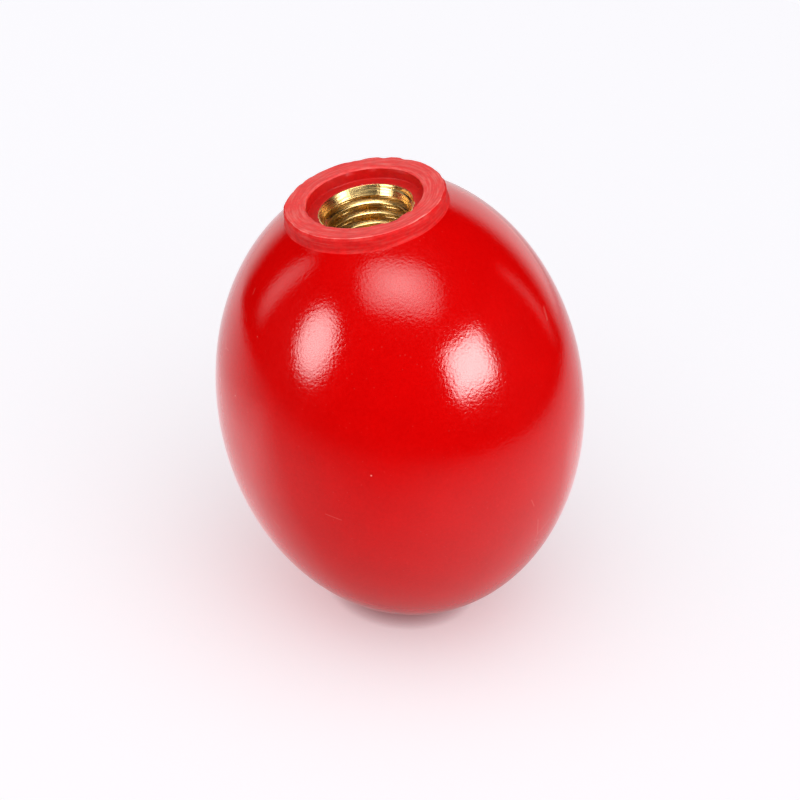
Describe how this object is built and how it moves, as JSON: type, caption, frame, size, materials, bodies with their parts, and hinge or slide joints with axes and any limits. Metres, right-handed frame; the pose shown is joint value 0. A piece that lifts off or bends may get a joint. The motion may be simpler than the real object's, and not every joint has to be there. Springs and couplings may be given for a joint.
{
  "type": "egg-shaped lever knob",
  "caption": "Glossy red egg-shaped knob, moulded around a brass insert with a blind thread that opens in a flat recessed collar.",
  "frame": {"origin": "centre of the collar's flat seating face", "axes": "+Z along the thread and out of its mouth, so the knob hangs below its seating face; X and Y are free, because the knob is a body of revolution"},
  "size_m": [0.04, 0.04, 0.051],
  "materials": {
    "red_phenolic": "moulded, polished gloss, collar face trimmed matte",
    "turned_brass": "turned, bright"
  },
  "bodies": {
    "root": {"knob_body": "red_phenolic", "threaded_insert": "turned_brass"}
  },
  "joints": []
}
